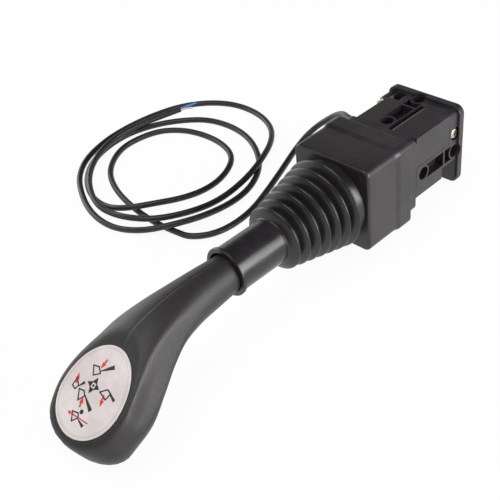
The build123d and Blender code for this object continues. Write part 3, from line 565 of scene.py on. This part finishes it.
def rings(parts=7, dome_parts=9, fullness=0.9):
    """Ellipses along the grip as (centre, upwards, half width, half thickness). A low fullness fills the dome."""
    ends = [STATIONS[0], *STATIONS, STATIONS[-1]]
    found = []
    for number in range(len(STATIONS) - 1):
        near = ends[number:number + 4]
        if number == len(STATIONS) - 2:
            near = near[:3] + [tuple(2 * a - b for a, b in zip(near[2], near[1]))]
        for part in range(parts):
            found.append([between(*values, part / parts) for values in zip(*near)])
    for part in range(dome_parts):
        found.append([*STATIONS[-1], math.radians(89 * part / (dome_parts - 1))])
    result = []
    for x, z, slope, wide, thick, *lift in found:
        angle = math.radians(slope)
        rise, share = (DOME * math.sin(lift[0]), math.cos(lift[0]) ** fullness) if lift else (0.0, 1.0)
        centre = Vector((x + rise * math.cos(angle), 0, z + rise * math.sin(angle)))
        result.append((centre, Vector((-math.sin(angle), 0, math.cos(angle))), wide * share, thick * share))
    return result


def pressed(spot, side, strength):
    """Presses a point of the skin onto the finger flat and onto the plate's seat."""
    flat_out = Vector((-math.sin(FINGER_YAW) * math.cos(FINGER_PITCH),
                       side * math.cos(FINGER_YAW) * math.cos(FINGER_PITCH), math.sin(FINGER_PITCH)))
    origin = Vector((FINGER_PLACE.x, side * FINGER_PLACE.y, FINGER_PLACE.z))
    height = (spot - origin).dot(flat_out)
    reach = (spot - origin).dot(plate_ahead)
    spot = spot - flat_out * over(height, 0.9) * strength * (1 - eased(reach, 16.0, 40.0))
    away = spot - Vector((PLATE_CENTRE[0], 0, PLATE_CENTRE[1]))
    height, ahead = away.dot(plate_up), away.dot(plate_ahead) - EGG_SHIFT
    egg_share = math.hypot(ahead / (EGG_AHEAD if ahead > 0 else EGG_BEHIND), away.y / EGG_SIDE)
    hold = (1 - eased((egg_share - 1) * 26, 1.0, 11.0)) * eased(height, -10.0, -5.0)
    return spot - plate_up * height * hold


def cutter(start, end, radius):
    """A round bar from start to end, to cut with."""
    mesh = bpy.data.meshes.new("cutter")
    form = bmesh.new()
    bmesh.ops.create_cone(form, cap_ends=True, segments=48, radius1=radius, radius2=radius,
                          depth=(Vector(end) - Vector(start)).length)
    form.to_mesh(mesh)
    form.free()
    turn = (Vector(end) - Vector(start)).to_track_quat("Z", "Y").to_matrix().to_4x4()
    mesh.transform(Matrix.Translation((Vector(start) + Vector(end)) / 2) @ turn)
    return linked("cutter", mesh)


def grip_half(name, side, strength, cuts):
    """One half of the grip as a hollow moulding, on side 1 or -1, with its finger flat pressed in by strength."""
    form = bmesh.new()
    ring_rows = []
    steps = 48
    for centre, up, wide, thick in rings():
        lip_angle = math.acos(min(0.95, 0.18 / wide))
        angles = [-lip_angle + 2 * lip_angle * step / steps for step in range(steps + 1)]
        row = [(0.04, -max(thick - 0.14, 0.0))]
        row += [(wide * math.cos(angle), thick * math.sin(angle)) for angle in angles]
        row += [(0.04, max(thick - 0.14, 0.0))]
        spots = [centre + Vector((0, side * y, 0)) + up * lift for y, lift in row]
        ring_rows.append([form.verts.new(pressed(spot, side, strength)) for spot in spots])
    angle = math.radians(STATIONS[-1][2])
    tip = form.verts.new((STATIONS[-1][0] + DOME * math.cos(angle), 0.05 * side,
                          STATIONS[-1][1] + DOME * math.sin(angle)))
    for row, after in zip(ring_rows, ring_rows[1:]):
        for number in range(len(row) - 1):
            corners = (row[number], row[number + 1], after[number + 1], after[number])
            form.faces.new(corners if side > 0 else tuple(reversed(corners)))
    last = ring_rows[-1]
    for number in range(len(last) - 1):
        corners = (last[number], last[number + 1], tip)
        form.faces.new(corners if side > 0 else tuple(reversed(corners)))
    mesh = bpy.data.meshes.new(name + "_skin")
    form.to_mesh(mesh)
    form.free()
    mesh.polygons.foreach_set("use_smooth", [True] * len(mesh.polygons))
    mesh.materials.append(grip_black)
    holder = linked(name + "_skin", mesh)
    wall = holder.modifiers.new("wall", "SOLIDIFY")
    wall.thickness = GRIP_WALL
    wall.offset = -1.0
    for bar in cuts:
        cut = holder.modifiers.new("cut", "BOOLEAN")
        cut.operation = "DIFFERENCE"
        cut.object = bar
    done = bpy.data.meshes.new_from_object(holder.evaluated_get(bpy.context.evaluated_depsgraph_get()))
    bpy.data.objects.remove(holder)
    done.name = name
    done.transform(lever)
    piece = linked(name, done)
    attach(piece, "lever")
    print(name, "has", len(done.polygons), "faces")
    return piece


# %% [markdown]
# The right half has the finger flat, and the left half has the two holes that the screws go in by. The hole for the
# button is cut through both, because it sits on the parting line.

# %% Make the halves
BUTTON = Vector((171.0, 0, -14.6))
BUTTON_SLOPE = math.radians(-32.0)
BUTTON_HOLE, SCREW_HOLE = 10.0, 3.3
SCREWS = ((146.0, -3.0), (197.0, -41.0))
button_out = Vector((math.sin(BUTTON_SLOPE), 0, -math.cos(BUTTON_SLOPE)))
button_hole = cutter(BUTTON + button_out * 13.2, BUTTON + button_out * 40.0, BUTTON_HOLE)
screw_holes = [cutter((x, -45.0, z), (x, -8.0, z), SCREW_HOLE) for x, z in SCREWS]
right_grip = grip_half("grip_right_skin", 1, 1.0, [button_hole])
left_grip = grip_half("grip_left_skin", -1, 0.0, [button_hole, *screw_holes])
for bar in (button_hole, *screw_holes):
    bpy.data.objects.remove(bar)
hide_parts("grip_right_half")
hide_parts("grip_left_half")

# %% [markdown]
# ## The symbol plate
# The pale plate on top of the grip tells the driver what each push of the lever does. Its signs are plain shapes, a
# shovel on an arm with an arrow, and a cross of arrowheads for the lever's ways. They are thin pieces of print laid
# on the plate, each drawn from its own corners.

# %% Print on the plate
PLATE_PROUD = 0.3
PRINT = 0.06
plate_axes = Matrix.Translation((PLATE_CENTRE[0], 0, PLATE_CENTRE[1])) @ Matrix.Rotation(-PLATE_SLOPE, 4, "Y")


def printed(name, shapes, material):
    """Thin flat print: every shape is a list of (along, across) corners on the plate."""
    mesh = bpy.data.meshes.new(name)
    form = bmesh.new()
    for shape in shapes:
        low = [form.verts.new(lever @ plate_axes @ Vector((x, y, PLATE_PROUD + 0.01))) for x, y in shape]
        high = [form.verts.new(lever @ plate_axes @ Vector((x, y, PLATE_PROUD + PRINT))) for x, y in shape]
        form.faces.new(high)
        form.faces.new(list(reversed(low)))
        for spot in range(len(shape)):
            after = (spot + 1) % len(shape)
            form.faces.new((low[spot], low[after], high[after], high[spot]))
    bmesh.ops.recalc_face_normals(form, faces=form.faces)
    form.to_mesh(mesh)
    form.free()
    mesh.materials.append(material)
    piece = linked(name, mesh)
    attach(piece, "lever")
    return piece


def stroke(points, width, closed=False):
    """Corners of the bars that draw a line of that width through points, one bar a run."""
    bars = []
    pairs = list(zip(points, points[1:])) + ([(points[-1], points[0])] if closed else [])
    for (x0, y0), (x1, y1) in pairs:
        run = Vector((x1 - x0, y1 - y0)).normalized()
        side = Vector((-run.y, run.x)) * width / 2
        run = run * width / 2
        bars.append([
            (x0 - run.x - side.x, y0 - run.y - side.y),
            (x1 + run.x - side.x, y1 + run.y - side.y),
            (x1 + run.x + side.x, y1 + run.y + side.y),
            (x0 - run.x + side.x, y0 - run.y + side.y),
        ])
    return bars


def arrow(start, end, width=1.3, head=3.6):
    """A shaft and a head from start to end."""
    start, end = Vector(start), Vector(end)
    run = (end - start).normalized()
    side = Vector((-run.y, run.x))
    neck = end - run * head
    shaft = [start - side * width / 2, neck - side * width / 2, neck + side * width / 2, start + side * width / 2]
    tip = [neck - side * head * 0.42, end, neck + side * head * 0.42]
    return [[tuple(point) for point in shaft], [tuple(point) for point in tip]]


def arm(start, end, narrow, wide):
    """A wedge that grows from narrow to wide."""
    start, end = Vector(start), Vector(end)
    run = (end - start).normalized()
    side = Vector((-run.y, run.x))
    corners = (start - side * narrow / 2, end - side * wide / 2, end + side * wide / 2, start + side * narrow / 2)
    return [[tuple(point) for point in corners]]


def disc(x, y, radius, corners=20):
    """A filled circle."""
    turn = 2 * math.pi / corners
    return [[(x + radius * math.cos(turn * n), y + radius * math.sin(turn * n)) for n in range(corners)]]


def head(x, y, angle, size):
    """An arrowhead with its middle at x, y."""
    run = Vector((math.cos(angle), math.sin(angle)))
    side = Vector((-run.y, run.x))
    spot = Vector((x, y))
    back = spot - run * size * 0.45
    corners = (spot + run * size * 0.55, back + side * size * 0.55, back - side * size * 0.55)
    return [[tuple(point) for point in corners]]


LINE = 0.8
CROSS_X, CROSS_Y, CROSS_REACH = -3.0, -2.4, 3.1
black_print = []
for shovel in (
    ((-12.0, -10.0), (-13.0, -6.0), (-10.4, -2.8), (-7.4, -6.6)),
    ((-1.2, -15.2), (2.0, -11.4), (4.4, -12.6), (3.6, -15.6)),
    ((3.0, -9.8), (2.2, -6.0), (4.4, -3.8), (8.2, -6.4)),
    ((-2.4, 4.0), (-5.9, 7.8), (-5.0, 11.2), (-0.8, 10.0)),
    ((14.6, -5.4), (13.6, -1.0), (15.6, 0.6), (19.2, -2.2)),
):
    black_print += stroke(shovel, LINE, closed=True)
black_print += arm((-11.4, -3.6), (-17.6, 3.6), 0.5, 2.6)
black_print += arm((2.0, -11.2), (-1.6, -8.8), 0.5, 1.9)
black_print += arm((3.6, -4.4), (8.8, 5.4), 0.5, 2.6)
black_print += arm((-5.0, 10.4), (-3.0, 15.8), 0.9, 1.8)
black_print += arm((16.2, 0.8), (17.9, 6.6), 0.4, 2.0)
black_print += disc(12.0, 0.5, 1.35)
black_print += disc(CROSS_X, CROSS_Y, 0.8)
for ahead, sideways in ((1, 0), (-1, 0), (0, 1), (0, -1)):
    black_print += head(CROSS_X + CROSS_REACH * ahead, CROSS_Y + CROSS_REACH * sideways,
                        math.atan2(sideways, ahead), 3.6)
red_print = (
    arrow((-18.8, -3.6), (-12.6, -4.4))
    + arrow((1.6, -14.0), (-4.0, -15.9))
    + arrow((10.8, -2.6), (5.0, -4.2))
    + arrow((-2.4, 7.4), (4.0, 9.6))
    + arrow((15.0, 8.4), (16.3, -8.6), 0.8, 2.8)
)
print("black shapes", len(black_print), "red shapes", len(red_print))

# %% [markdown]
# The inks are flat and a little rough. A thin grey ring runs inside the plate's rim, as on a label cut from foil.

# %% Print colours
ink_black = moulded_plastic("ink_black", (0.02, 0.018, 0.02), 0.4, 3000.0, 0.000002)
ink_red = moulded_plastic("ink_red", (0.62, 0.045, 0.03), 0.4, 3000.0, 0.000002)
ink_grey = moulded_plastic("ink_grey", (0.42, 0.38, 0.39), 0.4, 3000.0, 0.000002)
printed("black_signs", black_print, ink_black)
printed("red_signs", red_print, ink_red)


def egg(grow, steps=72):
    """Points of the plate's egg outline, moved out by grow."""
    points = []
    for step in range(steps):
        angle = 2 * math.pi * step / steps
        reach = (EGG_AHEAD if math.cos(angle) > 0 else EGG_BEHIND) + grow
        points.append((EGG_SHIFT + reach * math.cos(angle), (EGG_SIDE + grow) * math.sin(angle)))
    return points


printed("plate_border", stroke(egg(-1.8), 0.22, closed=True), ink_grey)

# %% [markdown]
# ## Studio
# A white floor under a white world, and large soft lamps. The floor shows white to the camera and
# still takes the control's soft shadow.

# %% Floor and world


def studio_white(name, lift):
    """White paper that shows nearly pure white, in mirrors too, and keeps a share of its shadow."""
    material, tree, _ = start_material(name)
    paper = make_node(tree, "ShaderNodeBsdfDiffuse", {}, {"Color": (0.88, 0.88, 0.88, 1.0)})
    glow = make_node(tree, "ShaderNodeEmission", {}, {"Color": (1.0, 1.0, 1.0, 1.0), "Strength": 1.0})
    seen = make_node(tree, "ShaderNodeLightPath", {}, {}, "Is Camera Ray")
    mirrored = make_node(tree, "ShaderNodeLightPath", {}, {}, "Is Glossy Ray")
    both = make_node(tree, "ShaderNodeMixShader", {}, {0: (seen * lift + mirrored).clamped(), 1: paper, 2: glow})
    make_node(tree, "ShaderNodeOutputMaterial", {}, {"Surface": both})
    return material


floor_mesh = bpy.data.meshes.new("floor")
floor_mesh.from_pydata([(-4, -4, 0), (4, -4, 0), (4, 4, 0), (-4, 4, 0)], [], [(0, 1, 2, 3)])
floor_mesh.materials.append(studio_white("white_paper", 0.93))
floor = linked("floor", floor_mesh)

# the room mirrors white near the floor and dim overhead, so black plastic shows bright rims and dark tops
OVERHEAD, ROOM_LIGHT = 0.05, 0.36
world = bpy.data.worlds.new("studio_world")
world.use_nodes = True
sky = world.node_tree
sky.nodes.clear()
seen = make_node(sky, "ShaderNodeLightPath", {}, {}, "Is Camera Ray")
mirrored = make_node(sky, "ShaderNodeLightPath", {}, {}, "Is Glossy Ray")
through = make_node(sky, "ShaderNodeLightPath", {}, {}, "Is Transmission Ray")
direction = make_node(sky, "ShaderNodeTexCoord", {}, {}, "Generated")
parts = sky.nodes.new("ShaderNodeSeparateXYZ")
sky.links.new(direction.socket, parts.inputs[0])
overhead = make_node(sky, "ShaderNodeMapRange", {"interpolation_type": "SMOOTHSTEP"},
                     {"Value": Wire(sky, parts.outputs[2]), "From Min": 0.12, "From Max": 0.42,
                      "To Min": 1.0, "To Max": OVERHEAD})
strength = seen + (through + mirrored).clamped() * overhead
strength = strength + (1.0 - (seen + mirrored + through).clamped()) * ROOM_LIGHT
background = make_node(sky, "ShaderNodeBackground", {}, {"Color": (1.0, 1.0, 1.0, 1.0), "Strength": strength})
make_node(sky, "ShaderNodeOutputWorld", {}, {"Surface": background})
bpy.context.scene.world = world

# %% [markdown]
# Three square panels give soft edges to the light. The one on the right is the strongest, so that the right flanks of
# the casing and the grip turn pale grey while their tops stay dark.

# %% Lamps


def soft_lamp(name, spot, target, size, watts):
    """A square lamp panel at spot, facing target."""
    data = bpy.data.lights.new(name, "AREA")
    data.size = size
    data.energy = watts
    lamp = linked(name, data)
    lamp.location = spot
    lamp.rotation_euler = (Vector(target) - Vector(spot)).to_track_quat("-Z", "Y").to_euler()
    print(name, "gives", watts, "watts")


middle = Vector((0.0, -0.05, 0.03))
soft_lamp("top_panel", (0.35, -0.1, 1.0), middle, 0.7, 5.0)
soft_lamp("right_panel", (-0.25, 1.0, 0.22), middle, 0.9, 22.0)
soft_lamp("left_panel", (0.1, -1.0, 0.30), middle, 0.8, 5.0)
bpy.context.scene.view_settings.view_transform = "Standard"
